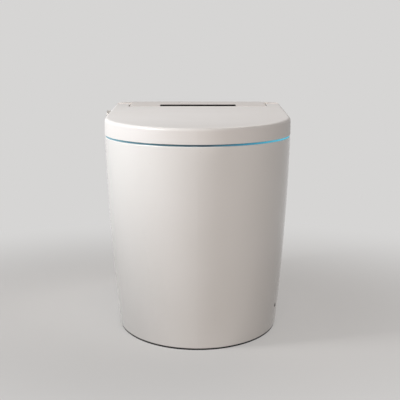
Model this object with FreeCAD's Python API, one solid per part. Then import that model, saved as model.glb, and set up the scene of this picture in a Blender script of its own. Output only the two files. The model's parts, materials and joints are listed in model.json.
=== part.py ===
import FreeCAD, Part
import math
import os

# A floor-standing smart toilet without a cistern: a glazed ceramic pedestal with its bowl and trapway,
# a heated seat under a deep lid, and a rear housing that holds the washing, drying and flushing units.
# Millimetres. The origin is the centre of the drain outlet on the floor, +Z is up and +Y points to the wall,
# so the lid's front faces -Y and a sitting user's right hand is on the -X side.

V = FreeCAD.Vector
ALONG_X = V(1, 0, 0)
ALONG_Y = V(0, 1, 0)
ALONG_Z = V(0, 0, 1)

# Driving dimensions
width = 397.0               # across the lid and the ceramic rim
length = 690.0              # front of the lid to the back of the rear housing
rough_in = 305.0            # drain centre to the finished wall
wall_gap = 5.0              # back of the housing to the wall
foot_gap = 3.0              # sealed joint under the foot
rim_z = 411.0               # top of the ceramic rim
seam = 4.0                  # open joint between the rim and the lid, where the light shows
lid_tall = 32.0             # the lid's height at its front
deck_up = 45.5              # rear housing's top over the rim, level with the lid at its hinge line
deck_fall = 2.5             # how much lower the housing is at the wall
overrun = 2.0               # how far a cutting solid runs past what it cuts
clear = 0.3                 # between faces that are seated on each other
gap = 1.5                   # between pieces that move past each other

# Plan of the body: half ellipse in front, straight sides, rounded back corners
nose_depth = 250.0          # depth of the front half ellipse at the rim
rear_corner = 85.0          # radius of the back corners at the rim
foot_half = 171.0           # half width at the floor
foot_setback = 18.0         # how far the foot's front lies behind the rim's
foot_nose_depth = 262.0     # depth of the front half ellipse at the floor
foot_corner = 66.0          # radius of the back corners at the floor
lean_share = 0.45           # part of the sides' lean that is straight, the rest being the belly's curve
section_shares = (0.0, 0.25, 0.5, 0.75, 1.0)   # heights of the skirt's sections, from the rim down

# Ceramic pedestal
skirt_wall = 12.0
rim_thick = 18.0
rim_round = 2.0             # glaze-softened edges of rim and foot
lip_round = 9.0             # roll of the rim into the bowl
bowl_front = 62.0           # width of the rim in front of the bowl
bowl_long = 356.0           # bowl opening along Y
bowl_wide = 262.0           # bowl opening along X
bowl_depth = 286.0
bowl_wall = 10.0
sump_back = 62.0            # sump's centre, in front of the drain
bowl_shares = ((0.0, 1.0, 1.0, 0.0), (0.12, 0.98, 0.98, 0.02), (0.4, 0.83, 0.8, 0.14),
               (0.7, 0.5, 0.48, 0.52), (1.0, 0.27, 0.3, 1.0))   # depth, length, width, shift to the sump
trap_bore = 52.0            # passage that a 50 mm ball clears
trap_wall = 7.0
trap_start = 42.0           # straight run out of the sump
trap_rise_r = 60.0          # bends of the trapway's centre line: up, over the weir, down
trap_rise_angle = 55.0
trap_rise_run = 15.0
trap_weir_r = 42.0
trap_weir_angle = 205.0
trap_fall_r = 60.0
horn_r = 45.0               # outlet horn under the foot
horn_z = 14.0
horn_tall = 50.0

# Technical chamber behind the bowl
chamber_half = 146.0
chamber_front = 122.0       # its front edge, behind the drain
chamber_back = 16.0         # ledge left behind it
chamber_corner = 30.0
notch_half = 78.0           # opening from the chamber to the bowl for the wash unit
notch_depth = 72.0

# Hinge line of lid and seat
hinge_back = 121.0          # hinge line, before the back of the rear housing
open_angle = 100.0          # travel of the lid and of the seat
console_half = 163.0        # half width of the fixed hinge housing in the lid's notch
console_reach = 75.0        # housing's front, before the hinge line
console_gap = 2.5           # housing's front to the lid, which swings past it
console_round = 3.0
pin_r = 6.0
pin_play = 0.06
pin_end = 7.0               # from the pin's end to the lid's side

# Lid
lid_wall = 3.0
lid_round = 6.0             # roll of the lid's top edge
lid_web = 7.0               # solid web before the lid's round hinge ends
rib_deep = 2.0              # ribs between the lid's top and its inner panel
rib_wide = 2.0
rib_shares = (-0.62, -0.31, 0.0, 0.31, 0.62)   # places of the ribs across the half width
panel_thick = 2.0
lid_bumper_shares = ((0.62, 0.12), (0.86, 0.52))   # places, of the half width and of the lid's length

# Seat
seat_gap = 3.5              # seat's edge to the inside of the lid's skirt
seat_lift = 5.0             # seat's underside over the rim
seat_thick = 21.0
seat_base_thick = 4.0
seat_wall = 3.0
seat_round = 7.0
seat_front = 78.0           # seat opening behind the lid's front
seat_long = 300.0           # seat opening along Y
seat_wide = 226.0           # seat opening along X
seat_corner = 24.0
dish_wide = 46.0            # sitting surface's slope down to the opening
dish_deep = 7.0
dish_shares = ((0.0, 1.0), (0.35, 0.62), (1.0, 0.0))   # depth and width down the slope
hole_round = 3.0
arm_wide = 12.0             # seat's hinge arms
arm_play = 3.25             # round end of an arm to the lid's wall round it
foil_thick = 0.8
bumper_r = 8.0
seat_bumper_shares = ((0.5, 0.085), (0.8, 0.55))   # places, of the half width and of the length

# Fixed hinge housing, its display and the hinge drives
window_long = 180.0         # display window across
window_wide = 46.0
window_inset = 4.0          # from the housing's front edge
window_thick = 1.5
board_thick = 1.6
display_share = 0.85        # display board's size, of the window's
saddle_thick = 6.0          # saddles that carry the hinge drives
saddle_shares = (0.2, 0.8)  # their places along a drive
drive_r = 12.5
drive_long = 86.0
drive_inset = 3.0           # from the housing's end to the drive's face

# Rear housing
deck_wall = 3.0
deck_round = 5.0
cover_screw_x = 104.0
cover_screw_up = 22.0       # over the rim
screw_r = 2.0
screw_head_r = 4.0

# Side knob
knob_r = 12.0
knob_long = 24.0
knob_up = 14.0              # knob's centre over the rim
knob_behind = 14.0          # knob's centre behind the lid
knob_flutes = 18
flute_r = 1.2
bezel_wide = 2.0
bezel_thick = 2.0
spindle_r = 3.0
encoder_size = 12.0
encoder_deep = 9.0

# Chassis tray in the technical chamber
tray_thick = 3.0
tray_wall = 2.5
tray_lap = 12.0             # flange beyond the chamber's edge
tray_z = 300.0              # underside of the tray's well
tray_screw_r = 2.5
tray_screw_head_r = 5.0
tray_screw_long = 14.0
tray_screw_shares = (0.2, 0.8)   # places along the chamber

# Wash unit over the back of the bowl
hood_front = 40.0           # hood's top front edge, behind the drain
hood_wall = 2.5
wand_tilt = 13.0            # the wands slope down to the front
wand_r = 7.0
wand_long = 180.0
wand_pitch = 22.0
wand_play = 0.06
wand_drop = 42.0            # wands' centre under the rim, at the hood's face
wand_recess = 2.0
jet_r = 0.8
jet_count = 3
jet_pitch = 4.0
cradle_wall = 3.0
cradle_start = 30.0         # from the hood's face
cradle_long = 110.0
leg_thick = 5.0
leg_share = 0.6             # cradle's leg, along the cradle
motor_r = 11.0
motor_long = 16.0
vent_slots = 5
vent_wide = 2.5
vent_tall = 18.0
vent_pitch = 6.0

# Dryer
blower_r = 36.0
blower_wide = 30.0
blower_wall = 2.5
blower_x = 50.0
blower_y = 222.0
blower_inlet_r = 16.0
impeller_r = 28.0
impeller_blades = 20
blade_thick = 1.2
blade_deep = 7.0
hub_r = 8.0
axle_r = 2.0
blower_motor_r = 15.0
blower_motor_long = 14.0
duct_wide = 30.0
duct_tall = 18.0
flap_thick = 2.0
flap_pin_r = 1.5
flap_roll_r = 2.2

# Water and electric units
tank_wide = 44.0
tank_wall = 2.5
tank_tall = 96.0
unit_round = 6.0
pump_r = 19.0
pump_long = 78.0
pump_x = -70.0
pipe_r = 12.0
pipe_wall = 3.0
heater_wide = 54.0
heater_long = 70.0
heater_tall = 40.0
heater_x = -12.0
heater_ribs = 6
heater_rib_thick = 2.0
inlet_r = 10.48             # half-inch pipe thread
inlet_long = 15.0
inlet_bore = 6.5
inlet_nut_r = 15.0
inlet_nut_tall = 6.0
nut_sides = 6
inlet_x = -12.0
inlet_back = 24.0           # from the tray's back wall
valve_size = 26.0
valve_tall = 22.0
coil_r = 10.0
coil_tall = 24.0
power_wide = 40.0
power_long = 84.0
power_tall = 56.0
power_x = 118.0
board_long = 130.0
board_tall = 74.0
board_x = 90.0
chip_thick = 3.0
chip_shares = (0.2, 0.5, 0.8)   # places along the control board
gland_r = 9.0
gland_bore = 4.0
gland_long = 16.0
gland_nut_r = 12.0

# Foot, drain and floor pieces
drain_seal_r = 62.0
drain_r = 34.0
drain_seal_tall = 26.0
seal_inset = 1.5
bracket_y = 185.0
bracket_up = 34.0           # side screws over the floor
bracket_long = 60.0
bracket_wide = 48.0
bracket_thick = 4.0
bracket_tall = 46.0
anchor_r = 4.0
anchor_pitch = 36.0
side_screw_r = 3.0
side_screw_head_r = 6.0
side_hole_r = 5.0
cap_r = 9.0
cap_thick = 1.2
cap_seat = 5.0
back_half = 92.0            # opening in the back of the skirt
back_low = 70.0
back_high = 262.0
back_corner = 24.0
sensor_share = 0.94         # foot sensor's place across the nose
sensor_up = 52.0
sensor_r = 4.0
sensor_long = 18.0
guide_inset = 2.2           # light guide behind the rim's edge
guide_wide = 5.0
guide_tall = 2.6

half = width / 2
rear_y = rough_in - wall_gap
front_y = rear_y - length
lid_z = rim_z + seam
lid_front_z = lid_z + lid_tall
deck_z = rim_z + deck_up
hinge_y = rear_y - hinge_back
slope = (deck_z - lid_front_z) / (hinge_y - front_y)


def top_z(y):
    """Height of the lid's top plane, which the hinge housing's top continues."""
    return lid_front_z + slope * (y - front_y)


barrel_r = (top_z(hinge_y) - lid_z) / 2
hinge_z = lid_z + barrel_r
opened = math.radians(open_angle)
swing_r = barrel_r + gap
deck_low_y = hinge_y + swing_r / math.sin(opened)
deck_top_y = deck_low_y - (top_z(hinge_y) - hinge_z) / math.tan(opened)


# Helpers
def box(x0, x1, y0, y1, z0, z1):
    return Part.makeBox(x1 - x0, y1 - y0, z1 - z0, V(x0, y0, z0))


def rod(radius, start, end):
    run = end - start
    return Part.makeCylinder(radius, run.Length, start, run)


def tube(outer_r, inner_r, start, end):
    past = (end - start).normalize() * overrun
    return rod(outer_r, start, end).cut(rod(inner_r, start - past, end + past))


def softened(shape, radius, along):
    """Round the straight edges that run along an axis."""
    edges = [e for e in shape.Edges if abs(e.tangentAt(e.FirstParameter).dot(along)) > 0.99]
    return shape.makeFillet(radius, edges)


def soft_box(x0, x1, y0, y1, z0, z1, radius, along=ALONG_Z):
    return softened(box(x0, x1, y0, y1, z0, z1), radius, along)


def prism(points, x0, x1):
    """A side profile of (y, z) points, from x0 to x1."""
    corners = [V(x0, y, z) for y, z in points]
    return Part.Face(Part.makePolygon(corners + corners[:1])).extrude(V(x1 - x0, 0, 0))


def mirrored(shape):
    return shape.mirror(V(0, 0, 0), ALONG_X)


def pair(shape):
    return Part.makeCompound([shape, mirrored(shape)])


def joined(*shapes):
    whole = shapes[0]
    for shape in shapes[1:]:
        whole = whole.fuse(shape)
    return whole.removeSplitter()


def save(name, shape):
    solids = shape.Solids
    whole = solids[0] if len(solids) == 1 else Part.makeCompound(solids)
    whole.exportStep(os.path.join("parts", name + ".step"))
    if not solids or not all(s.isValid() for s in solids):
        print("not a sound solid:", name)


def quarter(centre, start, end):
    """A quarter ellipse about centre, from centre + start to centre + end."""
    long_arm, short_arm = (start, end) if start.Length >= end.Length else (end, start)
    whole = Part.Ellipse(centre + long_arm, centre + short_arm, centre)
    return Part.ArcOfEllipse(whole, 0, math.pi / 2).toShape()


def corner_arc(x, y, radius, z, side):
    """A back corner's arc about (x, y), on the side that side gives as 1 or -1."""
    reach = radius * math.sqrt(0.5)
    points = [V(side * (x + radius), y, z), V(side * (x + reach), y + reach, z), V(side * x, y + radius, z)]
    return Part.Arc(*points).toShape()


def outline(half_wide, tip_y, depth, back_y, corner, z):
    """The body's plan at height z."""
    side_y = tip_y + depth
    middle = V(0, side_y, z)
    edges = []
    for side in (1, -1):
        edges.append(quarter(middle, V(0, -depth, 0), V(side * half_wide, 0, 0)))
        edges.append(Part.makeLine(V(side * half_wide, side_y, z), V(side * half_wide, back_y - corner, z)))
        if corner > 0:
            edges.append(corner_arc(half_wide - corner, back_y - corner, corner, z, side))
    edges.append(Part.makeLine(V(half_wide - corner, back_y, z), V(corner - half_wide, back_y, z)))
    return Part.Wire(Part.__sortEdges__(edges))


def ellipse(half_long, half_wide, y, z):
    """An ellipse in plan, longer along Y."""
    curve = Part.Ellipse(V(0, y + half_long, z), V(half_wide, y, z), V(0, y, z))
    return Part.Wire(curve.toShape())


def lean(share):
    return lean_share * share + (1 - lean_share) * share ** 2


def share_at(z):
    return (rim_z - z) / (rim_z - foot_gap)


def side_x(z):
    """Half width of the pedestal's outside at height z."""
    return half - lean(share_at(z)) * (half - foot_half)


def skirt_section(share, inset=0.0):
    """The pedestal's plan at a share of its height below the rim, drawn in by inset."""
    drawn = lean(share)
    return outline(
        half - drawn * (half - foot_half) - inset,
        front_y + drawn * foot_setback + inset,
        nose_depth + drawn * (foot_nose_depth - nose_depth) - inset,
        rear_y - inset,
        rear_corner + drawn * (foot_corner - rear_corner) - inset,
        rim_z - share * (rim_z - foot_gap),
    )


def plan_block(inset, back_y, z0, z1, corner=0.0):
    """The rim's plan drawn in by inset, as a block from z0 to z1."""
    wire = outline(half - inset, front_y + inset, nose_depth - inset, back_y, corner, z0)
    return Part.Face(wire).extrude(V(0, 0, z1 - z0))


def under_top(drop, x0, x1, y0, y1, z0):
    """A block whose top lies drop under the common top plane."""
    return prism([(y0, z0), (y1, z0), (y1, top_z(y1) - drop), (y0, top_z(y0) - drop)], x0, x1)


def top_layer(drop, thick, x0, x1, y0, y1):
    """A plate that lies drop under the top plane and follows its slope."""
    low = drop + thick
    side = [(y0, top_z(y0) - low), (y1, top_z(y1) - low), (y1, top_z(y1) - drop), (y0, top_z(y0) - drop)]
    return prism(side, x0, x1)


os.makedirs("parts", exist_ok=True)

# The ceramic pedestal
skirt = Part.makeLoft([skirt_section(s) for s in section_shares], True)
skirt = skirt.makeFillet(rim_round, [e for e in skirt.Edges if abs(e.tangentAt(e.FirstParameter).z) < 0.01])
hollow_shares = (share_at(rim_z - rim_thick),) + section_shares[1:-1] + (share_at(-overrun),)
hollow = Part.makeLoft([skirt_section(s, skirt_wall) for s in hollow_shares], True)
bowl_y = front_y + bowl_front + bowl_long / 2


def bowl_form(wall, lift):
    """The bowl's form, wall thicker all round than its inside."""
    rings = []
    for deep, long_share, wide_share, shift in bowl_shares:
        y = bowl_y + shift * (-sump_back - bowl_y)
        z = rim_z + lift - deep * (bowl_depth + lift + wall)
        rings.append(ellipse(bowl_long / 2 * long_share + wall, bowl_wide / 2 * wide_share + wall, y, z))
    return Part.makeLoft(rings, True)


trap_r = trap_bore / 2
sump_z = rim_z - bowl_depth


def trap_line():
    """The trapway's centre line, as straight runs and bends that meet smoothly."""
    fall_angle = trap_weir_angle - trap_rise_angle - 90
    bends = ((trap_start, trap_rise_r, trap_rise_angle), (trap_rise_run, trap_weir_r, -trap_weir_angle),
             (None, trap_fall_r, fall_angle))
    at = V(0, -sump_back, sump_z + trap_r)
    heading = 0
    edges = []
    for run, radius, turn in bends:
        ahead = V(0, math.cos(heading), math.sin(heading))
        if run is None:
            run = (radius * (1 + math.sin(heading)) - at.y) / math.cos(heading)
        start = at + ahead * run
        edges.append(Part.makeLine(at, start))
        side = math.copysign(1, turn)
        middle = start + V(0, -ahead.z, ahead.y) * radius * side
        on_arc = []
        for share in (0, 0.5, 1):
            angle = heading + math.radians(turn) * share
            on_arc.append(middle + V(0, math.sin(angle), -math.cos(angle)) * radius * side)
        edges.append(Part.Arc(*on_arc).toShape())
        at = on_arc[-1]
        heading += math.radians(turn)
    edges.append(Part.makeLine(at, V(0, 0, -overrun)))
    return Part.Wire(edges)


def trap_form(radius):
    bore = Part.Wire(Part.makeCircle(radius, V(0, -sump_back, sump_z + trap_r), ALONG_Y))
    return trap_line().makePipeShell([bore], True, False)


below_horn = box(-half, half, front_y, rear_y, -2 * overrun, horn_z + horn_tall / 4)
pedestal = skirt.cut(hollow)
pedestal = pedestal.fuse(bowl_form(bowl_wall, 0).common(skirt))
pedestal = pedestal.fuse(trap_form(trap_r + trap_wall).cut(below_horn))
pedestal = pedestal.fuse(rod(horn_r, V(0, 0, horn_z), V(0, 0, horn_z + horn_tall)))
pedestal = pedestal.cut(bowl_form(0, overrun))
rim_edges = [e for e in pedestal.Edges if abs(e.CenterOfMass.z - rim_z) < clear]
lip = [e for e in rim_edges if abs(e.BoundBox.XMax - bowl_wide / 2) < clear]
pedestal = pedestal.makeFillet(lip_round, lip)
pedestal = pedestal.cut(trap_form(trap_r))
pedestal = pedestal.cut(soft_box(-chamber_half, chamber_half, chamber_front, rear_y - chamber_back,
                                 rim_z - rim_thick - overrun, rim_z + overrun, chamber_corner))
pedestal = pedestal.cut(box(-notch_half, notch_half, -sump_back, chamber_front + overrun,
                            rim_z - notch_depth, rim_z + overrun))
back_opening = soft_box(-back_half, back_half, rear_y - skirt_wall - overrun, rear_y + overrun,
                        back_low, back_high, back_corner, ALONG_Y)
pedestal = pedestal.cut(back_opening)

# Foot seal, drain seal and floor brackets
foot = Part.Face(skirt_section(1.0, seal_inset)).extrude(V(0, 0, -foot_gap))
foot_inside = Part.Face(skirt_section(1.0, skirt_wall - seal_inset)).extrude(V(0, 0, -foot_gap))
save("foot_seal", foot.cut(foot_inside))
drain_seal = rod(drain_seal_r, V(0, 0, 0), V(0, 0, drain_seal_tall))
drain_seal = drain_seal.cut(rod(drain_r, V(0, 0, -overrun), V(0, 0, drain_seal_tall)))
drain_seal = drain_seal.cut(rod(horn_r + clear, V(0, 0, horn_z - clear), V(0, 0, drain_seal_tall + overrun)))
save("drain_seal", drain_seal)

bracket_x = foot_half - skirt_wall - clear
bracket = box(bracket_x - bracket_wide, bracket_x, bracket_y - bracket_long / 2, bracket_y + bracket_long / 2,
              0, bracket_thick)
bracket = joined(bracket, box(bracket_x - bracket_thick, bracket_x, bracket_y - bracket_long / 2,
                              bracket_y + bracket_long / 2, 0, bracket_tall))
bend = [e for e in bracket.Edges if abs(e.CenterOfMass.x - bracket_x + bracket_thick) < clear
        and abs(e.CenterOfMass.z - bracket_thick) < clear]
bracket = bracket.makeFillet(bracket_thick, bend)
for end in (-1, 1):
    middle = V(bracket_x - bracket_wide / 2, bracket_y + end * anchor_pitch / 2, 0)
    through = ALONG_Z * (bracket_thick + overrun)
    bracket = bracket.cut(rod(anchor_r, middle - ALONG_Z * overrun, middle + through))
screw_out = side_x(bracket_up)
screw_line = V(0, bracket_y, bracket_up)
screw_in = bracket_x - bracket_thick
bracket = bracket.cut(rod(side_screw_r, screw_line + ALONG_X * (screw_in - overrun),
                          screw_line + ALONG_X * (bracket_x + overrun)))
save("floor_brackets", pair(bracket))
head_seat = screw_out - cap_seat
side_screw = rod(side_screw_r, screw_line + ALONG_X * screw_in, screw_line + ALONG_X * head_seat)
side_screw = side_screw.fuse(rod(side_screw_head_r, screw_line + ALONG_X * head_seat,
                                 screw_line + ALONG_X * (screw_out - cap_thick - clear)))
save("side_screws", pair(side_screw))
cap_in = screw_line + ALONG_X * (screw_out - cap_thick)
cap_out = screw_line + ALONG_X * (screw_out + cap_thick)
cap = rod(cap_r, cap_in, cap_out)
cap_rim = [e for e in cap.Edges if e.CenterOfMass.x > screw_out and len(e.Vertexes) == 1]
cap = cap.makeChamfer(cap_thick / 2, cap_rim)
save("side_screw_caps", pair(cap))
side_cut = rod(side_hole_r, screw_line + ALONG_X * (bracket_x - overrun), screw_line + ALONG_X * half)
side_cut = side_cut.fuse(rod(cap_r + clear, screw_line + ALONG_X * head_seat, screw_line + ALONG_X * half))
pedestal = pedestal.cut(pair(side_cut))

# Foot sensor in the skirt's nose, square to its surface
sensor_lean = lean(share_at(sensor_up))
sensor_half = side_x(sensor_up)
sensor_depth = nose_depth + sensor_lean * (foot_nose_depth - nose_depth)
sensor_side_y = front_y + sensor_lean * foot_setback + sensor_depth
sensor_ahead = sensor_depth * math.sqrt(1 - sensor_share ** 2)
sensor_at = V(sensor_half * sensor_share, sensor_side_y - sensor_ahead, sensor_up)
sensor_out = V(sensor_at.x / sensor_half ** 2, -sensor_ahead / sensor_depth ** 2, 0).normalize()
save("foot_sensor", rod(sensor_r, sensor_at - sensor_out * sensor_long, sensor_at + sensor_out * clear))
pedestal = pedestal.cut(rod(sensor_r + clear / 3, sensor_at - sensor_out * sensor_long * 2,
                            sensor_at + sensor_out * sensor_long))

# Light guide on the rim, in the open joint under the lid
guide_back = deck_low_y - gap
guide = plan_block(guide_inset, guide_back, rim_z, rim_z + guide_tall)
guide = guide.cut(plan_block(guide_inset + guide_wide, guide_back + overrun, rim_z - overrun, rim_z + seam))
save("light_guide", guide)

# Lid: a deep shell with half-round hinge ends
hinge = V(0, hinge_y, hinge_z)
lid_back = hinge_y + 2 * barrel_r
lid_block = plan_block(0, lid_back, lid_z, deck_z + seam)
lid_block = lid_block.common(under_top(0, -half, half, front_y, lid_back, lid_z))


def top_rim(shape, back_y):
    """The edges round the top face, but not the one at its back."""
    found = []
    for edge in shape.Edges:
        middle = edge.valueAt((edge.FirstParameter + edge.LastParameter) / 2)
        if abs(middle.z - top_z(middle.y)) < clear and middle.y < back_y - clear:
            found.append(edge)
    return found


lid_block = lid_block.makeFillet(lid_round, top_rim(lid_block, lid_back))
barrel = rod(barrel_r, V(-half, hinge_y, hinge_z), V(half, hinge_y, hinge_z))
lid_space = box(-half, half, front_y - overrun, hinge_y, lid_z - overrun, deck_z + seam)
lid = lid_block.common(lid_space.fuse(barrel))
console_y = hinge_y - console_reach
notch_x = console_half + gap
notch_y = console_y - console_gap
cavity_y = notch_y - lid_wall
web_y = hinge_y - barrel_r - lid_web
cavity = under_top(lid_wall, -half, half, front_y, web_y, lid_z - overrun)
cavity = cavity.common(plan_block(lid_wall, web_y, lid_z - overrun, deck_z + seam))
cavity = cavity.cut(box(-notch_x, notch_x, cavity_y, hinge_y, lid_z - 2 * overrun, deck_z + seam))
lid = lid.cut(cavity)
lid = lid.cut(box(-notch_x, notch_x, notch_y, lid_back, lid_z - overrun, deck_z + seam))
arm_in = notch_x + gap
arm_out = arm_in + arm_wide
slot_in = notch_x - overrun
slot_out = arm_out + gap
slot_r = barrel_r - lid_wall + clear
arm_r = barrel_r - lid_wall - arm_play
slot = box(slot_in, slot_out, web_y - overrun, hinge_y, lid_z - overrun, top_z(web_y) - lid_wall)
slot = slot.fuse(box(slot_in, slot_out, hinge_y - clear, lid_back, lid_z - overrun, hinge_z))
slot = slot.fuse(rod(slot_r, V(slot_in, hinge_y, hinge_z), V(slot_out, hinge_y, hinge_z)))
lid = lid.cut(pair(slot))
pin_tip = half - pin_end
hole_end = V(pin_tip + clear, hinge_y, hinge_z)
pin_hole = rod(pin_r + pin_play, V(slot_out - overrun, hinge_y, hinge_z), hole_end)
lid = lid.cut(pair(pin_hole))
ribs = None
for share in rib_shares:
    x = share * half
    rib = top_layer(lid_wall - clear, rib_deep + clear, x - rib_wide / 2, x + rib_wide / 2, front_y,
                    cavity_y + clear)
    ribs = rib if ribs is None else ribs.fuse(rib)
ribs = ribs.common(plan_block(lid_wall - clear, cavity_y + clear, lid_z, deck_z + seam))
lid = lid.fuse(ribs)
save("lid_shell", lid)

panel_top = lid_wall + rib_deep
panel = top_layer(panel_top, panel_thick, -half, half, front_y, cavity_y - gap)
panel = panel.common(plan_block(lid_wall + clear, cavity_y - gap, lid_z, deck_z + seam, seat_corner))
save("lid_panel", panel)

seat_z = rim_z + seat_lift
seat_top_z = seat_z + seat_thick


def places(shares):
    """Spots on the plan from shares of its half width and its length, on both sides."""
    return [(side * x * half, front_y + y * length) for x, y in shares for side in (1, -1)]


lid_bumpers = []
for x, y in places(lid_bumper_shares):
    bumper = rod(bumper_r, V(x, y, seat_top_z + clear), V(x, y, top_z(y)))
    under_panel = under_top(panel_top + panel_thick, -half, half, front_y, hinge_y, lid_z)
    lid_bumpers.append(bumper.common(under_panel))
save("lid_bumpers", Part.makeCompound(lid_bumpers))

# Seat: an upper shell with its heating foil, closed by a base
seat_inset = lid_wall + seat_gap
seat_y = cavity_y - seat_gap
seat_hole_y = front_y + seat_front + seat_long / 2
seat_split = seat_z + seat_base_thick


def seat_hole(grown, z0, z1):
    wire = ellipse(seat_long / 2 + grown, seat_wide / 2 + grown, seat_hole_y, z0)
    return Part.Face(wire).extrude(V(0, 0, z1 - z0))


def seat_ring(inset, z0, z1):
    ring = plan_block(seat_inset + inset, seat_y - inset, z0, z1, seat_corner - inset)
    return ring.cut(seat_hole(inset, z0 - overrun, z1 + overrun))


upper = seat_ring(0, seat_split, seat_top_z)
dish_rings = [ellipse(seat_long / 2 + dish_wide * wide, seat_wide / 2 + dish_wide * wide, seat_hole_y,
                      seat_top_z - dish_deep * deep) for deep, wide in dish_shares]
upper = upper.cut(Part.makeLoft(dish_rings, True))
outer_rim = [e for e in upper.Edges if abs(e.CenterOfMass.z - seat_top_z) < clear and len(e.Vertexes) == 2]
upper = upper.makeFillet(seat_round, outer_rim)
dish_low = seat_top_z - dish_deep
hole_rim = [e for e in upper.Edges if abs(e.CenterOfMass.z - dish_low) < clear and len(e.Vertexes) == 1]
upper = upper.makeFillet(hole_round, hole_rim)
foil_z = dish_low - seat_wall
upper = upper.cut(seat_ring(seat_wall, seat_split - overrun, foil_z))
arm_profile = [(hinge_y, hinge_z - arm_r), (hinge_y, hinge_z + arm_r), (seat_y, seat_top_z - seat_round / 2),
               (seat_y - seat_wall, seat_top_z - seat_round), (seat_y - seat_wall, seat_split),
               (seat_y, seat_split)]
arm = prism(arm_profile, arm_in, arm_out)
arm = arm.fuse(rod(arm_r, V(arm_in, hinge_y, hinge_z), V(arm_out, hinge_y, hinge_z)))
arm_far = V(arm_out + overrun, hinge_y, hinge_z)
arm_hole = rod(pin_r + pin_play, V(arm_in - overrun, hinge_y, hinge_z), arm_far)
upper = upper.fuse([arm, mirrored(arm)]).cut(pair(arm_hole))
save("seat_shell", upper)
save("seat_base", seat_ring(0, seat_z, seat_split))
save("seat_heating_foil", seat_ring(2 * seat_wall, foil_z - foil_thick, foil_z))
seat_bumpers = [rod(bumper_r, V(x, y, rim_z + clear), V(x, y, seat_z)) for x, y in places(seat_bumper_shares)]
save("seat_bumpers", Part.makeCompound(seat_bumpers))

# Fixed hinge housing between the lid's arms, with the display in its top
flange_z = rim_z + tray_thick
house_z = flange_z + clear


def console_block(inset, low_z):
    """The hinge housing's form, drawn in by inset, its back along the rear housing's front."""
    back = clear + inset
    side = [(console_y + inset, low_z), (deck_low_y - back, low_z), (deck_low_y - back, hinge_z),
            (deck_top_y - back, top_z(deck_top_y) - inset), (console_y + inset, top_z(console_y) - inset)]
    return prism(side, inset - console_half, console_half - inset)


housing = console_block(0, house_z)
housing = housing.makeFillet(console_round, [e for e in housing.Edges if e.CenterOfMass.z > hinge_z
                                             and e.CenterOfMass.y < hinge_y])
housing = housing.cut(console_block(deck_wall, house_z - overrun))
drive_out = console_half - drive_inset
drive_in = drive_out - drive_long
saddle_half = drive_r + deck_wall
for share in saddle_shares:
    x = drive_in + share * drive_long
    saddle = box(x - saddle_thick / 2, x + saddle_thick / 2, hinge_y - saddle_half, hinge_y + saddle_half,
                 house_z, top_z(hinge_y) - deck_wall / 2)
    housing = housing.fuse(pair(saddle).common(console_block(deck_wall / 2, house_z)))
drive_far = V(console_half + overrun, hinge_y, hinge_z)
drive_hole = rod(drive_r + clear / 2, V(drive_in - clear, hinge_y, hinge_z), drive_far)
housing = housing.cut(pair(drive_hole))
window_y0 = console_y + window_inset
window_y1 = window_y0 + window_wide
window_cut_half = window_long / 2
window_seat = top_layer(-overrun, overrun + window_thick, -window_cut_half, window_cut_half,
                        window_y0, window_y1)
housing = housing.cut(window_seat)
board_half = window_long / 2 * display_share
board_y0 = window_y0 + window_wide * (1 - display_share) / 2
board_y1 = board_y0 + window_wide * display_share
housing = housing.cut(top_layer(0, 2 * deck_wall, -board_half, board_half, board_y0, board_y1))
save("hinge_housing", housing)
window_half = window_long / 2 - clear / 2
save("display_window", top_layer(0, window_thick, -window_half, window_half, window_y0 + clear / 2,
                                 window_y1 - clear / 2))
save("display_board", top_layer(window_thick, board_thick, clear - board_half, board_half - clear,
                                board_y0 + clear,
                                board_y1 - clear))
drive = rod(drive_r, V(drive_in, hinge_y, hinge_z), V(drive_out, hinge_y, hinge_z))
drive_flange = box(drive_out - drive_inset, drive_out, hinge_y - drive_r, hinge_y + drive_r,
                   hinge_z - drive_r / 2, hinge_z + drive_r / 2)
save("hinge_drives", pair(drive.fuse(drive_flange.common(drive))))
pin = rod(pin_r, V(drive_out, hinge_y, hinge_z), V(pin_tip, hinge_y, hinge_z))
pin = pin.makeChamfer(pin_r / 6, [e for e in pin.Edges if e.CenterOfMass.x > pin_tip - clear])
save("hinge_pins", pair(pin))

# Rear housing over the back of the rim
cover_z = rim_z + clear


def deck_top(y):
    """Height of the rear housing's top, which falls to the wall."""
    return deck_z - deck_fall * (y - deck_top_y) / (rear_y - deck_top_y)


def deck_block(inset, low_z):
    """The rear housing's form, drawn in by inset."""
    corner = rear_corner - inset
    wire = outline(half - inset, front_y + inset, nose_depth - inset, rear_y - inset, corner, low_z)
    back = rear_y + overrun
    side = [(deck_low_y + inset, low_z), (back, low_z), (back, deck_top(back) - inset),
            (deck_top_y + inset, deck_z - inset), (deck_low_y + inset, hinge_z)]
    return Part.Face(wire).extrude(V(0, 0, deck_z + seam - low_z)).common(prism(side, -half, half))


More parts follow.
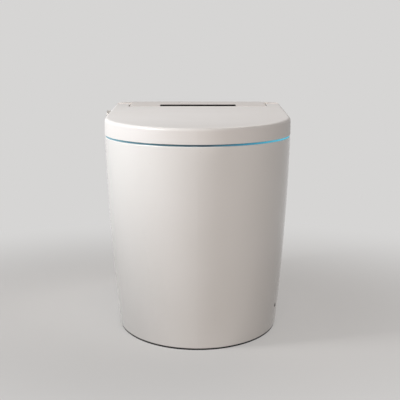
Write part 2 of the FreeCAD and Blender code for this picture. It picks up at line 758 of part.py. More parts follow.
deck = deck_block(0, cover_z)
deck_rim = [e for e in deck.Edges if e.CenterOfMass.z > deck_top(e.CenterOfMass.y) - clear
            and e.CenterOfMass.y > deck_top_y + clear]
deck = deck.makeFillet(deck_round, deck_rim)
deck = deck.cut(deck_block(deck_wall, cover_z - overrun))
flange_half = chamber_half + tray_lap
deck = deck.cut(box(-flange_half - gap, flange_half + gap, deck_low_y - overrun, deck_low_y + 2 * deck_wall,
                    cover_z - overrun, house_z))
cover_screw_z = rim_z + cover_screw_up
head_y = rear_y - deck_wall / 2
cover_screws = []
for x in (-cover_screw_x, cover_screw_x):
    tip = V(x, rear_y - 4 * deck_wall, cover_screw_z)
    seat = V(x, head_y, cover_screw_z)
    deck = deck.cut(rod(screw_r + clear, tip, V(x, rear_y + overrun, cover_screw_z)))
    deck = deck.cut(rod(screw_head_r + clear, seat, V(x, rear_y + overrun, cover_screw_z)))
    head = rod(screw_head_r, seat, V(x, head_y + deck_wall / 2, cover_screw_z))
    cover_screws.append(rod(screw_r, tip, seat).fuse(head))
save("cover_screws", Part.makeCompound(cover_screws))

# Side knob on its encoder, in the housing's side under a user's right hand
knob_y = deck_top_y + knob_behind
knob_z = rim_z + knob_up
knob_line = V(0, knob_y, knob_z)


def on_side(distance):
    return knob_line - ALONG_X * distance


deck = deck.cut(rod(spindle_r + clear, on_side(half - 2 * deck_wall), on_side(half + overrun)))
save("rear_housing", deck)
bezel_r = knob_r + bezel_wide
bezel_out = half + bezel_thick
bezel = tube(bezel_r, spindle_r + clear, on_side(half - deck_wall), on_side(bezel_out))
save("knob_bezel", bezel.cut(deck_block(0, cover_z)))
knob = rod(knob_r, on_side(bezel_out + clear), on_side(bezel_out + knob_long))
knob = knob.makeFillet(bezel_wide, [e for e in knob.Edges if e.CenterOfMass.x < -bezel_out - knob_long / 2])
for turn in range(knob_flutes):
    angle = 2 * math.pi * turn / knob_flutes
    spot = V(0, math.cos(angle), math.sin(angle)) * (knob_r + flute_r / 2)
    knob = knob.cut(rod(flute_r, on_side(bezel_out + bezel_wide) + spot,
                        on_side(bezel_out + knob_long - 2 * bezel_wide) + spot))
spindle_in = half - deck_wall - encoder_deep / 2
knob = knob.fuse(rod(spindle_r, on_side(spindle_in), on_side(bezel_out + knob_long / 2)))
save("side_knob", knob)
encoder_out = half - deck_wall - 3 * clear
encoder_half = encoder_size / 2
encoder = box(-encoder_out, clear - encoder_out + encoder_deep, knob_y - encoder_half, knob_y + encoder_half,
              knob_z - encoder_half + clear, knob_z + encoder_half)
encoder = encoder.cut(rod(spindle_r + pin_play, on_side(spindle_in - clear), on_side(half)))
save("knob_encoder", encoder)

# Chassis tray
well_half = chamber_half - gap
well_front = chamber_front + gap
well_back = rear_y - chamber_back - gap
flange_front = chamber_front - tray_lap
flange_back = rear_y - deck_wall - gap
flange_corner = chamber_corner + tray_lap
tray = soft_box(-flange_half, flange_half, flange_front, flange_back, rim_z, flange_z, flange_corner)
tray = tray.fuse(soft_box(-well_half, well_half, well_front, well_back, tray_z, flange_z - clear,
                          chamber_corner - gap))
floor_z = tray_z + tray_wall
tray = tray.cut(soft_box(-well_half + tray_wall, well_half - tray_wall, well_front + tray_wall,
                         well_back - tray_wall, floor_z, flange_z + overrun,
                         chamber_corner - gap - tray_wall))
for x in (-cover_screw_x, cover_screw_x):
    boss = box(x - screw_head_r, x + screw_head_r, rear_y - 4 * deck_wall, rear_y - deck_wall - clear, rim_z,
               cover_screw_z + screw_head_r)
    thread_start = V(x, rear_y - 5 * deck_wall, cover_screw_z)
    tray = tray.fuse(boss).cut(rod(screw_r, thread_start, V(x, rear_y, cover_screw_z)))
mouth_half = notch_half - gap + clear
tray = tray.cut(box(-mouth_half, mouth_half, flange_front - overrun, well_front + 2 * tray_wall,
                    rim_z - notch_depth + 2 * gap, flange_z + overrun))
tray_screws = []
for share in tray_screw_shares:
    y = chamber_front + share * (rear_y - chamber_back - chamber_front)
    for x in (-chamber_half - tray_lap / 2, chamber_half + tray_lap / 2):
        hole = rod(tray_screw_r, V(x, y, flange_z - tray_screw_long), V(x, y, flange_z))
        tray = tray.cut(hole)
        pedestal = pedestal.cut(hole)
        head = rod(tray_screw_head_r, V(x, y, flange_z), V(x, y, flange_z + tray_thick))
        tray_screws.append(hole.fuse(head))
save("tray_screws", Part.makeCompound(tray_screws))

# Wash unit: its parts are made level along +Y from the hood's face, then tilted and set in place
wand_z = rim_z - wand_drop
tilt = math.radians(wand_tilt)
face_at = V(0, hood_front + wand_drop * math.tan(tilt), wand_z)


def in_place(shape):
    return shape.rotate(V(0, 0, 0), ALONG_X, wand_tilt).translate(face_at)


def face_y(z):
    """The hood's front face at height z."""
    return face_at.y + (wand_z - z) * math.tan(tilt)


hood_half = notch_half - gap
hood_z = rim_z - notch_depth + clear
hood_back = well_front - clear


def hood_block(inset, back):
    low, high = hood_z + inset, flange_z - inset
    wall = inset / math.cos(tilt)
    side = [(face_y(low) + wall, low), (back, low), (back, high), (face_y(high) + wall, high)]
    return prism(side, inset - hood_half, hood_half - inset)


hood = hood_block(0, hood_back).cut(hood_block(hood_wall, hood_back + overrun))
wand_xs = (-wand_pitch / 2, wand_pitch / 2)
for x in wand_xs:
    hood = hood.cut(in_place(rod(wand_r + clear, V(x, -overrun, 0), V(x, 2 * hood_wall, 0))))
flap_x = blower_x
flap_cut = box(flap_x - duct_wide / 2, flap_x + duct_wide / 2, -overrun, 2 * hood_wall,
               -duct_tall / 2, duct_tall / 2)
for slot_number in range(vent_slots):
    x = -flap_x + (slot_number - (vent_slots - 1) / 2) * vent_pitch
    hood = hood.cut(in_place(box(x - vent_wide / 2, x + vent_wide / 2, -overrun, 2 * hood_wall,
                                 -vent_tall / 2, vent_tall / 2)))
hood = hood.cut(in_place(flap_cut))
flap_axis_z = duct_tall / 2 - flap_roll_r - clear
lug_deep = 2 * flap_roll_r + hood_wall
for side in (-1, 1):
    x0 = flap_x + side * duct_wide / 2
    x1 = x0 + side * 2 * flap_pin_r
    lug_low = flap_axis_z - flap_roll_r - clear
    lug = box(min(x0, x1), max(x0, x1), hood_wall / 2, lug_deep, lug_low, duct_tall / 2)
    hood = hood.fuse(in_place(lug))
pin_reach = duct_wide / 2 + 2 * flap_pin_r - clear
hood = hood.cut(in_place(rod(flap_pin_r + wand_play, V(flap_x - pin_reach - clear, flap_roll_r, flap_axis_z),
                             V(flap_x + pin_reach + clear, flap_roll_r, flap_axis_z))))
save("wash_hood", hood)
flap_half = duct_wide / 2 - clear
flap = box(flap_x - flap_half, flap_x + flap_half, 0, flap_thick, clear - duct_tall / 2, flap_axis_z)
flap = flap.fuse(rod(flap_roll_r, V(flap_x - flap_half, flap_roll_r, flap_axis_z),
                     V(flap_x + flap_half, flap_roll_r, flap_axis_z)))
flap = flap.fuse(rod(flap_pin_r, V(flap_x - pin_reach, flap_roll_r, flap_axis_z),
                     V(flap_x + pin_reach, flap_roll_r, flap_axis_z)))
save("dryer_flap", in_place(flap))

for name, x in zip(("front_wand", "rear_wand"), wand_xs):
    tip = V(x, wand_recess + wand_r, 0)
    wand = rod(wand_r, tip, V(x, wand_recess + wand_long, 0)).fuse(Part.makeSphere(wand_r, tip))
    for jet in range(jet_count):
        spot = V(x, wand_recess + wand_r + jet * jet_pitch, wand_r / 2)
        wand = wand.cut(rod(jet_r, spot, spot + ALONG_Z * wand_r))
    save(name, in_place(wand))
cradle_r = wand_r + cradle_wall
cradle_end = cradle_start + cradle_long
cradle = box(-wand_pitch / 2, wand_pitch / 2, cradle_start, cradle_end, -cradle_r, 0)
for x in wand_xs:
    cradle = cradle.fuse(rod(cradle_r, V(x, cradle_start, 0), V(x, cradle_end, 0)))
for x in wand_xs:
    bore_end = V(x, cradle_end + overrun, 0)
    cradle = cradle.cut(rod(wand_r + wand_play, V(x, cradle_start - overrun, 0), bore_end))
cradle = in_place(cradle)
leg_y = face_at.y + (cradle_start + cradle_long * leg_share) * math.cos(tilt)
leg = box(-wand_pitch / 2, wand_pitch / 2, leg_y, leg_y + leg_thick, floor_z, face_at.z)
leg = leg.fuse(box(-wand_pitch, wand_pitch, leg_y - leg_thick, leg_y + 2 * leg_thick, floor_z,
                   floor_z + leg_thick / 2))
leg_top = in_place(box(-half, half, 0, length, -half, -cradle_r + cradle_wall / 2))
leg = box(-wand_pitch / 2, wand_pitch / 2, leg_y, leg_y + leg_thick, floor_z, rim_z).common(leg_top).fuse(leg)
save("wand_cradle", cradle.fuse(leg))
motors = []
for side in (-1, 1):
    x0 = side * (wand_pitch / 2 + cradle_r)
    x1 = x0 + side * motor_long
    y = cradle_end - motor_r
    motors.append(rod(motor_r, V(min(x0, x1), y, 0), V(max(x0, x1), y, 0)))
save("wand_motors", in_place(Part.makeCompound(motors)))

# Dryer: a blower in its volute, its duct to the flap
volute_z = floor_z + blower_r
x0, x1 = blower_x - blower_wide / 2, blower_x + blower_wide / 2
blow_top = volute_z + blower_r
mouth_y = well_front + 3 * tray_wall
volute = rod(blower_r, V(x0, blower_y, volute_z), V(x1, blower_y, volute_z))
volute = volute.fuse(box(x0, x1, mouth_y, blower_y, blow_top - duct_tall, blow_top))
inner_r = blower_r - blower_wall
inner_end = V(x1 - blower_wall, blower_y, volute_z)
volute = volute.cut(rod(inner_r, V(x0 + blower_wall, blower_y, volute_z), inner_end))
volute = volute.cut(box(x0 + blower_wall, x1 - blower_wall, mouth_y - overrun, blower_y,
                        blow_top - duct_tall + blower_wall, blow_top - blower_wall))
volute = volute.cut(rod(blower_inlet_r, V(x1 - 2 * blower_wall, blower_y, volute_z),
                        V(x1 + overrun, blower_y, volute_z)))
volute = volute.cut(rod(axle_r + pin_play, V(x0 - overrun, blower_y, volute_z), V(x1, blower_y, volute_z)))
save("blower_volute", volute)
fan_x0, fan_x1 = x0 + blower_wall + gap, x1 - blower_wall - gap
fan = rod(impeller_r, V(fan_x0, blower_y, volute_z), V(fan_x0 + blade_thick, blower_y, volute_z))
fan = fan.fuse(rod(hub_r, V(fan_x0, blower_y, volute_z), V(fan_x1, blower_y, volute_z)))
blade = box(fan_x0, fan_x1, blower_y + impeller_r - blade_deep, blower_y + impeller_r - blade_thick / 2,
            volute_z, volute_z + blade_thick)
blade = blade.rotate(V(0, blower_y + impeller_r - blade_deep / 2, volute_z), ALONG_X, wand_tilt * 2)
blades = [blade.copy().rotate(V(0, blower_y, volute_z), ALONG_X, 360 / impeller_blades * n)
          for n in range(impeller_blades)]
fan_end = V(fan_x1, blower_y, volute_z)
fan_ring_from = V(fan_x1 - blade_thick * 2, blower_y, volute_z)
fan_ring = tube(impeller_r, impeller_r - blade_thick, fan_ring_from, fan_end)
fan = fan.fuse(blades).fuse(fan_ring)
fan_motor_x = x0 - blower_motor_long
axle_from = fan_motor_x + blower_motor_long / 2
fan = fan.fuse(rod(axle_r, V(axle_from, blower_y, volute_z), fan_end))
save("blower_impeller", fan)
fan_motor = rod(blower_motor_r, V(fan_motor_x, blower_y, volute_z), V(x0, blower_y, volute_z))
fan_motor = fan_motor.cut(rod(axle_r + pin_play, V(axle_from - clear, blower_y, volute_z),
                              V(x0 + overrun, blower_y, volute_z)))
save("blower_motor", fan_motor)


def duct_wire(inset, at, tilted):
    wide, tall = blower_wide / 2 - inset, duct_tall / 2 - inset
    lean_y = math.tan(tilt) * tall if tilted else 0
    corners = [V(blower_x + wide * i, at.y - j * lean_y, at.z + tall * j)
               for i, j in ((-1, -1), (1, -1), (1, 1), (-1, 1))]
    return Part.makePolygon(corners + corners[:1])


duct_front = face_at + V(0, (lug_deep + gap) / math.cos(tilt), 0)
duct_back = V(0, mouth_y - clear, blow_top - duct_tall / 2)
duct = Part.makeLoft([duct_wire(0, duct_front, True), duct_wire(0, duct_back, False)], True)
duct_hollow = [duct_wire(blower_wall, duct_front, True), duct_wire(blower_wall, duct_back, False)]
duct = duct.cut(Part.makeLoft(duct_hollow, True))
save("dryer_duct", duct)

# Water and electric units on the tray's floor
tank_x0 = -well_half + tray_wall + gap
tank_y0, tank_y1 = well_front + chamber_corner, well_back - chamber_corner
tank = soft_box(tank_x0, tank_x0 + tank_wide, tank_y0, tank_y1, floor_z, floor_z + tank_tall, unit_round)
tank = tank.cut(soft_box(tank_x0 + tank_wall, tank_x0 + tank_wide - tank_wall, tank_y0 + tank_wall,
                         tank_y1 - tank_wall, floor_z + tank_wall, floor_z + tank_tall - tank_wall,
                         unit_round - tank_wall))
save("flush_tank", tank)
pump_z = floor_z + pump_r
pump_y1 = well_back - chamber_corner
pump_y0 = pump_y1 - pump_long
pump = rod(pump_r, V(pump_x, pump_y0, pump_z), V(pump_x, pump_y1, pump_z))
pump = pump.makeFillet(pump_r / 5, [e for e in pump.Edges if e.CenterOfMass.y < pump_y0 + clear])
save("flush_pump", pump)
pipe_end = bowl_y + bowl_long / 2 * bowl_shares[2][1] - bowl_wall / 2
flush_pipe = tube(pipe_r, pipe_r - pipe_wall, V(pump_x, pipe_end, pump_z), V(pump_x, pump_y0, pump_z))
pipe_hole = rod(pipe_r + clear, V(pump_x, pipe_end, pump_z), V(pump_x, chamber_front, pump_z))
pipe_hole = pipe_hole.fuse(rod(pipe_r - pipe_wall, V(pump_x, bowl_y, pump_z), V(pump_x, pipe_end, pump_z)))
tray_hole_end = V(pump_x, well_front + 2 * tray_wall, pump_z)
tray = tray.cut(rod(pipe_r + clear, V(pump_x, flange_front, pump_z), tray_hole_end))

heater_y1 = well_back - 2 * inlet_back
heater_y0 = heater_y1 - heater_long
heater_x0 = heater_x - heater_wide / 2
heater = soft_box(heater_x0, heater_x0 + heater_wide, heater_y0, heater_y1, floor_z, floor_z + heater_tall,
                  unit_round, ALONG_Y)
for rib_number in range(heater_ribs):
    y = heater_y0 + heater_long * (rib_number + 1 / 2) / heater_ribs
    heater = heater.cut(box(heater_x0 - overrun, heater_x0 + heater_wide + overrun,
                            y - heater_rib_thick / 2, y + heater_rib_thick / 2,
                            floor_z + heater_tall - heater_rib_thick, floor_z + heater_tall + overrun))
save("water_heater", heater)
inlet_y = well_back - inlet_back
inlet_z = tray_z - inlet_nut_tall
inlet = rod(inlet_r, V(inlet_x, inlet_y, inlet_z - inlet_long), V(inlet_x, inlet_y, floor_z))
nut_turns = [2 * math.pi * n / nut_sides for n in range(nut_sides + 1)]
nut_corners = [V(inlet_x, inlet_y, inlet_z) + V(math.cos(a), math.sin(a), 0) * inlet_nut_r for a in nut_turns]
nut = Part.Face(Part.makePolygon(nut_corners)).extrude(V(0, 0, inlet_nut_tall))
inlet = inlet.fuse(nut)
tray = tray.cut(rod(inlet_r, V(inlet_x, inlet_y, tray_z - overrun), V(inlet_x, inlet_y, floor_z + overrun)))
inlet = inlet.cut(rod(inlet_bore, V(inlet_x, inlet_y, inlet_z - inlet_long - overrun),
                      V(inlet_x, inlet_y, floor_z - tray_wall / 2)))
save("water_inlet", inlet)
valve = soft_box(inlet_x - valve_size / 2, inlet_x + valve_size / 2, inlet_y - valve_size / 2,
                 inlet_y + valve_size / 2, floor_z, floor_z + valve_tall, unit_round / 2)
valve = valve.fuse(rod(coil_r, V(inlet_x, inlet_y, floor_z + valve_tall),
                       V(inlet_x, inlet_y, floor_z + valve_tall + coil_tall)))
save("inlet_valve", valve)
power_y0 = well_front + chamber_corner
power_x0 = power_x - power_wide / 2
power = soft_box(power_x0, power_x0 + power_wide, power_y0, power_y0 + power_long,
                 floor_z, floor_z + power_tall, unit_round / 2)
save("power_supply", power)
board_y0 = well_front + tray_wall + gap
board = box(board_x, board_x + board_thick, board_y0, board_y0 + board_long, floor_z, floor_z + board_tall)
for share in chip_shares:
    y = board_y0 + share * board_long
    board = board.fuse(box(board_x - chip_thick, board_x, y - chip_thick * 3, y + chip_thick * 3,
                           floor_z + board_tall / 2, floor_z + board_tall * 3 / 4))
save("control_board", board)
gland_at = V(power_x, inlet_y, tray_z)
gland = rod(gland_r, gland_at - ALONG_Z * gland_long, gland_at + ALONG_Z * tray_wall)
gland = gland.fuse(rod(gland_nut_r, gland_at - ALONG_Z * gland_long / 2, gland_at))
gland = gland.fuse(rod(gland_nut_r, gland_at + ALONG_Z * tray_wall, gland_at + ALONG_Z * 2 * tray_wall))
gland = gland.cut(rod(gland_bore, gland_at - ALONG_Z * 2 * gland_long, gland_at + ALONG_Z * gland_long))
tray = tray.cut(rod(gland_r, gland_at - ALONG_Z * overrun, gland_at + ALONG_Z * (tray_wall + overrun)))
save("cord_gland", gland)
save("chassis_tray", tray)
pedestal = pedestal.cut(pipe_hole)
save("flush_pipe", flush_pipe)
save("ceramic_pedestal", pedestal)
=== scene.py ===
import bpy
import json
import math
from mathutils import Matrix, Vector

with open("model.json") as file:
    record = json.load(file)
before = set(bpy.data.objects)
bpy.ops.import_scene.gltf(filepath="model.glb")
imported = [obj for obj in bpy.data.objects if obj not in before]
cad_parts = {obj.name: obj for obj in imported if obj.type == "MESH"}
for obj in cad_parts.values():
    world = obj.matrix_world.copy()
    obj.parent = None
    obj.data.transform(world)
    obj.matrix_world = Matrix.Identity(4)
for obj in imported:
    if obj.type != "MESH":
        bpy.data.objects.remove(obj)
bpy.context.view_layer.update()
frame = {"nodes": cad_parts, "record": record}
nodes = frame["nodes"]
mm = 0.001


def hexColour(text):
    # sRGB hex to the linear colour that a socket takes
    parts = [int(text[i:i + 2], 16) / 255 for i in (1, 3, 5)]
    return [c / 12.92 if c <= 0.04045 else ((c + 0.055) / 1.055) ** 2.4 for c in parts] + [1.0]


def addNode(tree, kind, settings=None, links=None):
    # settings: input or property name to value; links: input name to the socket that feeds it
    made = tree.nodes.new("ShaderNode" + kind)
    for key, value in (settings or {}).items():
        if key in made.inputs:
            made.inputs[key].default_value = value
        else:
            setattr(made, key, value)
    for key, socket in (links or {}).items():
        tree.links.new(socket, made.inputs[key])
    return made


def makeFinish(name, look):
    # colour in soft patches, an uneven gloss and a fine bump, each with its real size in metres
    ends = (0.2, 0.8)  # where the noise is stretched from its lightest to its darkest
    low, high = 0.88, 1.15  # the gloss runs a little to both sides of the roughness
    made = bpy.data.materials.new(name)
    made.use_nodes = True
    tree = made.node_tree
    shader = tree.nodes["Principled BSDF"]
    for key, value in look.get("sockets", {}).items():
        shader.inputs[key].default_value = value
    place = addNode(tree, "TexCoord").outputs["Object"]
    soft = addNode(tree, "TexNoise", {"Scale": 1 / look["patch"], "Detail": 1.0}, {"Vector": place})
    spread = addNode(tree, "MapRange", {"From Min": ends[0], "From Max": ends[1]},
                     {"Value": soft.outputs["Fac"]})
    tints = {"data_type": "RGBA", "A": hexColour(look["light"]), "B": hexColour(look["dark"])}
    colour = addNode(tree, "Mix", tints, {"Factor": spread.outputs["Result"]})
    tree.links.new(colour.outputs["Result"], shader.inputs["Base Color"])
    gloss = addNode(tree, "MapRange", {"To Min": look["roughness"] * low, "To Max": look["roughness"] * high},
                    {"Value": spread.outputs["Result"]})
    tree.links.new(gloss.outputs["Result"], shader.inputs["Roughness"])
    worked = addNode(tree, "Mapping", {"Scale": look.get("streak", (1, 1, 1))}, {"Vector": place})
    fine = addNode(tree, "TexNoise", {"Scale": 1 / look["grain"], "Detail": look.get("detail", 2.0)},
                   {"Vector": worked.outputs["Vector"]})
    bump = addNode(tree, "Bump", {"Distance": look["deep"]}, {"Height": fine.outputs["Fac"]})
    tree.links.new(bump.outputs["Normal"], shader.inputs["Normal"])
    return made


# Vitreous china under a fired glaze: a deep gloss over a body that is a little uneven, with the odd
# pinhole-sized speck that every kiln leaves
glaze = {"light": "#E9E8E7", "dark": "#E5E4E2", "patch": 140 * mm, "roughness": 0.09, "grain": 160 * mm,
         "deep": 0.06 * mm, "detail": 0.0, "speck": "#CFC9C2", "speckSize": 0.5 * mm, "speckApart": 19 * mm,
         "speckEdge": (0.7, 1.3),
         "sockets": {"IOR": 1.52}}
glazedChina = makeFinish("glazedVitreousChina", glaze)
tree = glazedChina.node_tree
shader = tree.nodes["Principled BSDF"]
plain = shader.inputs["Base Color"].links[0].from_socket
place = addNode(tree, "TexCoord").outputs["Object"]
cells = addNode(tree, "TexVoronoi", {"Scale": 1 / glaze["speckApart"]}, {"Vector": place})
inner, outer = [edge * glaze["speckSize"] / glaze["speckApart"] for edge in glaze["speckEdge"]]
clean = addNode(tree, "MapRange", {"From Min": inner, "From Max": outer},
                {"Value": cells.outputs["Distance"]})
speckled = addNode(tree, "Mix", {"data_type": "RGBA", "A": hexColour(glaze["speck"])},
                   {"Factor": clean.outputs["Result"], "B": plain})
tree.links.new(speckled.outputs["Result"], shader.inputs["Base Color"])

# Frosted acrylic light guide that glows, its colour along it painted with light and shade: bright on the
# right, dim in the painted shade of the middle, weaker and paler on the left as a painted highlight
guide = {"light": "#3C4E55", "dark": "#33454C", "patch": 20 * mm, "roughness": 0.5, "grain": 1 * mm,
         "deep": 0.01 * mm, "reach": 190 * mm,
         "paintedShadeGlow": ((0.0, "#78AEBE"), (0.14, "#4B7F8E"), (0.34, "#1D4E5C"), (0.55, "#0A3646"),
                  (0.78, "#2590B0"), (0.95, "#4CC4E0")),
         "sockets": {"IOR": 1.49, "Emission Strength": 0.8}}
litGuide = makeFinish("frostedAcrylicGuide", guide)
tree = litGuide.node_tree
place = addNode(tree, "TexCoord").outputs["Object"]
apart = addNode(tree, "SeparateXYZ", {}, {"Vector": place})
across = addNode(tree, "MapRange", {"From Min": -guide["reach"], "From Max": guide["reach"]},
                 {"Value": apart.outputs["X"]})
# the ramp along the strip paints light and shade into the glow's colour
paintedShadeGlow = addNode(tree, "ValToRGB", {}, {"Fac": across.outputs["Result"]})
stops = paintedShadeGlow.color_ramp.elements
while len(stops) < len(guide["paintedShadeGlow"]):
    stops.new(0.5)
for stop, (at, tint) in zip(stops, guide["paintedShadeGlow"]):
    stop.position = at
    stop.color = hexColour(tint)
tree.links.new(paintedShadeGlow.outputs["Color"], tree.nodes["Principled BSDF"].inputs["Emission Color"])

# Injection-moulded resin: soft gloss over a fine tool grain
moulding = {"light": "#E8E6E5", "dark": "#E4E2E0", "patch": 150 * mm, "roughness": 0.38, "grain": 1.8 * mm,
            "deep": 0.0004 * mm, "sockets": {"IOR": 1.49}}
# Turned, rolled or drawn metal: fine streaks along the work that spread the highlight
metal = {"patch": 6 * mm, "grain": 2 * mm, "detail": 4.0, "deep": 0.01 * mm, "sockets": {"Metallic": 1.0}}
# Moulded rubber: no gloss, with a dusty bloom in patches
rubber = {"patch": 14 * mm, "grain": 0.9 * mm, "detail": 5.0, "deep": 0.03 * mm, "sockets": {"IOR": 1.5}}

finishes = {
    "glazed_ceramic": glazedChina,
    "light_plastic": litGuide,
    # moulded lid: satin, so that the window's light runs along its rim as a soft line
    "lid_plastic": makeFinish("satinWhitePolypropylene", moulding),
    # polished seat: a shade lighter and glossier than the lid
    "seat_plastic": makeFinish("smoothWhiteResin", {**moulding, "light": "#EBE9E6", "dark": "#E7E4E1",
                                                    "roughness": 0.24}),
    # rear housing painted darker and warmer than the lid: painted shade for the lesser light on the rear deck
    "housing_plastic": makeFinish("shadedWarmWhiteAbs", {**moulding, "light": "#DFD8D3", "dark": "#DAD3CE",
                                                   "roughness": 0.25}),
    # duller moulding for pieces inside the body: a coarser spark-eroded tool
    "tray_plastic": makeFinish("greyWhitePolypropylene", {**moulding, "light": "#CFCFCC", "dark": "#C6C6C2",
                                                          "roughness": 0.45, "deep": 0.01 * mm}),
    # glass fibres at the surface: black with a dry, broken sheen
    "dark_plastic": makeFinish("blackGlassFilledNylon", {**moulding, "light": "#1D1D1F", "dark": "#151517",
                                                         "roughness": 0.5, "grain": 1.2 * mm,
                                                         "deep": 0.02 * mm}),
    # black-backed acrylic under an anti-glare coat: deep black from every side, faintly clouded
    "display_glass": makeFinish("smokedAcrylicWindow", {**moulding, "light": "#151517", "dark": "#0B0B0D",
                                                        "patch": 12 * mm, "roughness": 0.2,
                                                        "deep": 0.0002 * mm,
                                                        "sockets": {"Specular IOR Level": 0.0}}),
    # seals: dark and dusty
    "rubber": makeFinish("blackEpdmRubber", {**rubber, "light": "#262627", "dark": "#19191B",
                                             "roughness": 0.75}),
    # bumpers: milky and soft to look at
    "silicone": makeFinish("whiteSiliconeRubber", {**rubber, "light": "#D9D8D4", "dark": "#CFCECA",
                                                   "roughness": 0.6}),
    # plated and brushed round its axis: a silky band of light
    "knob_metal": makeFinish("satinPlatedZinc", {**metal, "light": "#CFCCC8", "dark": "#B9B6B2",
                                                 "roughness": 0.3, "streak": (1, 14, 14)}),
    # pressed brackets and screws: grey zinc with a spangle drawn out along the sheet
    "steel": makeFinish("zincPlatedSteel", {**metal, "light": "#B6B8BA", "dark": "#95989B", "roughness": 0.38,
                                            "grain": 4 * mm, "streak": (1, 1, 6)}),
    # drawn tube: bright, with fine lines along it
    "stainless": makeFinish("drawnStainlessSteel", {**metal, "light": "#CBCBCA", "dark": "#B2B2B1",
                                                    "roughness": 0.2, "streak": (12, 1, 12)}),
    # turned fitting: yellow, with the lathe's rings
    "brass": makeFinish("machinedBrass", {**metal, "light": "#D2AE62", "dark": "#B9924A", "roughness": 0.24,
                                          "streak": (1, 1, 12)}),
    # glass-fibre board under green solder mask: a faint weave and a waxy sheen
    "circuit_board": makeFinish("greenSolderMask", {**moulding, "light": "#1E6B3C", "dark": "#17552F",
                                                    "patch": 5 * mm, "roughness": 0.38, "grain": 0.6 * mm,
                                                    "deep": 0.01 * mm}),
    # rolled heating foil: rolling lines across its width
    "foil": makeFinish("rolledAluminiumFoil", {**metal, "light": "#CFCFD0", "dark": "#BBBCBD",
                                               "roughness": 0.3, "streak": (1, 8, 1)}),
    # sand-cast cans of the heater and the power supply: dull and grainy
    "copper_can": makeFinish("castAluminium", {**metal, "light": "#ABACAD", "dark": "#939496",
                                               "roughness": 0.48, "deep": 0.05 * mm}),
}
for part in frame["record"]["subparts"]:
    shown = nodes[part["node"]]
    shown.data.materials.clear()
    shown.data.materials.append(finishes[part["material_slot"]])
print("finishes laid on", len(nodes), "pieces")

# Stage: a pale floor that melts into the backdrop with distance, for the camera and for reflections
stage = {"side": 30.0, "floor": "#DEDCDA", "bounce": "#A8A5A2", "backdrop": "#D6D5D4",
         "fadeFrom": 0.25, "fadeTo": 1.15, "lift": 0.45, "roughness": 0.9, "specular": 0.1}
bpy.ops.object.select_all(action="DESELECT")
bpy.ops.mesh.primitive_plane_add(size=stage["side"], location=(0, 0, 0))
floor = bpy.context.object
floor.name = "paleFloor"
paper = bpy.data.materials.new("palePaper")
paper.use_nodes = True
tree = paper.node_tree
litPaper = tree.nodes["Principled BSDF"]
litPaper.inputs["Base Color"].default_value = hexColour(stage["floor"])
litPaper.inputs["Roughness"].default_value = stage["roughness"]
litPaper.inputs["Specular IOR Level"].default_value = stage["specular"]
bounce = addNode(tree, "BsdfDiffuse", {"Color": hexColour(stage["bounce"])})


def seenRays(tree):
    # 1 for the rays that show the background: camera, glossy and transmission
    rays = addNode(tree, "LightPath")
    some = addNode(tree, "Math", {"operation": "MAXIMUM"})
    tree.links.new(rays.outputs["Is Camera Ray"], some.inputs[0])
    tree.links.new(rays.outputs["Is Glossy Ray"], some.inputs[1])
    every = addNode(tree, "Math", {"operation": "MAXIMUM"})
    tree.links.new(some.outputs["Value"], every.inputs[0])
    tree.links.new(rays.outputs["Is Transmission Ray"], every.inputs[1])
    return every.outputs["Value"]


far = addNode(tree, "Emission", {"Color": hexColour(stage["backdrop"])})
place = addNode(tree, "TexCoord").outputs["Object"]
distance = addNode(tree, "VectorMath", {"operation": "LENGTH"}, {"Vector": place})
melt = {"From Min": stage["fadeFrom"], "From Max": stage["fadeTo"], "To Min": stage["lift"],
        "interpolation_type": "SMOOTHSTEP"}
fade = addNode(tree, "MapRange", melt, {"Value": distance.outputs["Value"]})
seenFloor = addNode(tree, "MixShader", {}, {"Fac": fade.outputs["Result"]})
tree.links.new(litPaper.outputs["BSDF"], seenFloor.inputs[1])
tree.links.new(far.outputs["Emission"], seenFloor.inputs[2])
either = addNode(tree, "MixShader", {}, {"Fac": seenRays(tree)})
tree.links.new(bounce.outputs["BSDF"], either.inputs[1])
tree.links.new(seenFloor.outputs["Shader"], either.inputs[2])
tree.links.new(either.outputs["Shader"], tree.nodes["Material Output"].inputs["Surface"])
floor.data.materials.append(paper)
paper.cycles.emission_sampling = "NONE"  # a picture of light, not a lamp

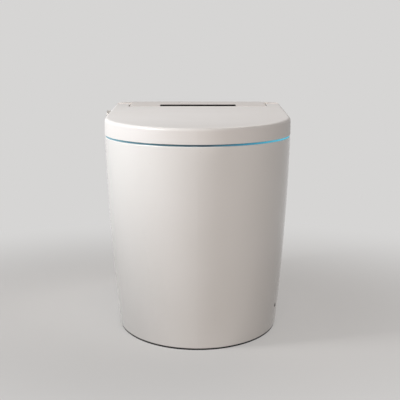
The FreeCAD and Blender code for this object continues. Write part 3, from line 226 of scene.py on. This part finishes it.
room = {"light": "#F1ECE8", "strength": 0.1}
world = bpy.data.worlds.new("softRoom")
bpy.context.scene.world = world
world.use_nodes = True
sky = world.node_tree
ambient = sky.nodes["Background"]
ambient.inputs["Color"].default_value = hexColour(room["light"])
ambient.inputs["Strength"].default_value = room["strength"]
seen = addNode(sky, "Background", {"Color": hexColour(stage["backdrop"]), "Strength": 1.0})
split = addNode(sky, "MixShader", {}, {"Fac": seenRays(sky)})
sky.links.new(ambient.outputs["Background"], split.inputs[1])
sky.links.new(seen.outputs["Background"], split.inputs[2])
sky.links.new(split.outputs["Shader"], sky.nodes["World Output"].inputs["Surface"])
print("stage set")

# Lamps: a narrow soft window high on the left, a wide front fill, a weak panel above and one behind
lamps = {
    "windowLeft": {"at": (-1.2, -0.6, 1.0), "aim": (0, 0, 0.43), "size": (0.55, 0.55), "watts": 2.9,
                   "tint": "#FFFFFF", "spread": 60},
    "fillFront": {"at": (0.5, -2.7, 0.9), "aim": (0, 0, 0.2), "size": (2.4, 1.8), "watts": 35,
                  "tint": "#FFF6F0", "spread": 180},
    "panelAbove": {"at": (0, 0.3, 2.6), "aim": (0, 0, 0), "size": (2.0, 1.6), "watts": 3,
                   "tint": "#FFF3EB", "spread": 180},
    "fillBack": {"at": (0.6, 2.0, 2.4), "aim": (0, 0.2, 0.2), "size": (1.4, 1.0), "watts": 16,
                 "tint": "#FFF6F0", "spread": 180},
}
for name, lamp in lamps.items():
    light = bpy.data.lights.new(name, "AREA")
    light.shape = "RECTANGLE"
    light.size, light.size_y = lamp["size"]
    light.energy = lamp["watts"]
    light.color = hexColour(lamp["tint"])[:3]
    light.spread = math.radians(lamp["spread"])
    holder = bpy.data.objects.new(name, light)
    holder.visible_camera = False
    bpy.context.scene.collection.objects.link(holder)
    holder.location = lamp["at"]
    away = holder.location - Vector(lamp["aim"])
    holder.rotation_euler = away.to_track_quat("Z", "Y").to_euler()
print("lamps lit")

# Camera at the photograph's height and distance: tilted down in degrees, focal length and sensor in mm
eye = {"at": (5 * mm, -2546 * mm, 639 * mm), "down": 8.744, "focal": 100.9, "sensor": 36.0}
camera = bpy.data.cameras.new("photoCamera")
camera.lens = eye["focal"]
camera.sensor_width = eye["sensor"]
viewer = bpy.data.objects.new("photoCamera", camera)
bpy.context.scene.collection.objects.link(viewer)
viewer.location = eye["at"]
viewer.rotation_euler = (math.radians(90 - eye["down"]), 0, 0)
bpy.context.scene.camera = viewer
bpy.context.scene.view_settings.view_transform = "Standard"
